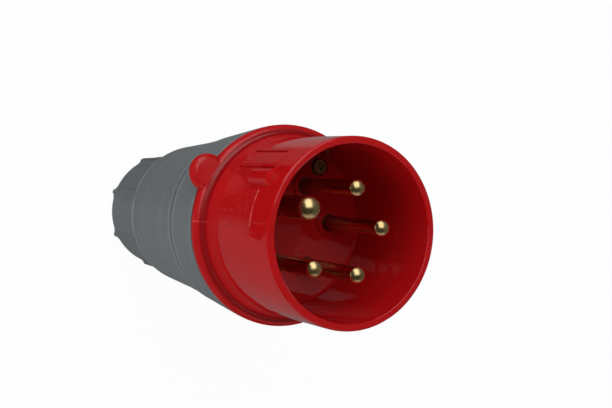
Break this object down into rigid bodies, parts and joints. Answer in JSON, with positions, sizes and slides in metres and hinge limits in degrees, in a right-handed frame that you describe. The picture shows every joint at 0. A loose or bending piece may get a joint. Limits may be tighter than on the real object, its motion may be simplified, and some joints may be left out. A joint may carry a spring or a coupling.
{
  "type": "industrial pin and sleeve plug",
  "caption": "Industrial pin and sleeve plug: round keyed shroud with brass contact pins, flange with ear, tapered hollow handle and ribbed gland nut.",
  "frame": {"origin": "centre of the cable opening in the flat end of the gland nut, on the plug's axis", "axes": "+Z along the plug's axis out of the mouth, -Y towards the key, the ear and the earth pin"},
  "size_m": [0.0668, 0.0726, 0.158],
  "materials": {
    "red_polyamide": "glossy moulded red",
    "grey_polyamide": "satin moulded grey",
    "brass": "turned brass",
    "yellow_zinc": "yellow passivated zinc",
    "zinc_steel": "bright zinc",
    "black_rubber": "matt rubber",
    "carrier_polyamide": "matt dark moulding"
  },
  "bodies": {
    "plug_body": {"shroud": "red_polyamide", "contact_carrier": "carrier_polyamide", "earth_pin": "brass", "pin_l1": "brass", "pin_l2": "brass", "pin_l3": "brass", "pin_neutral": "brass", "terminal_screws": "zinc_steel", "housing_screws": "yellow_zinc", "flange_gasket": "black_rubber", "rear_housing": "grey_polyamide", "cable_seal": "black_rubber", "cable_clamp": "carrier_polyamide"},
    "pressure_ring": {"thrust_washer": "zinc_steel"},
    "nut": {"gland_nut": "grey_polyamide"}
  },
  "joints": [
    {"name": "washer_travel", "type": "slide", "parent": "plug_body", "child": "pressure_ring", "axis": [0, 0, -1], "range_m": [0, 0.0075]},
    {"name": "nut_turn", "type": "hinge", "parent": "pressure_ring", "child": "nut", "pos_m": [0, 0, 0.005], "axis": [0, 0, -1], "range_deg": [0, 1080]}
  ],
  "couplings": [
    {"joint": "washer_travel", "follows": "nut_turn", "m_per_rad": 0.00039788}
  ]
}
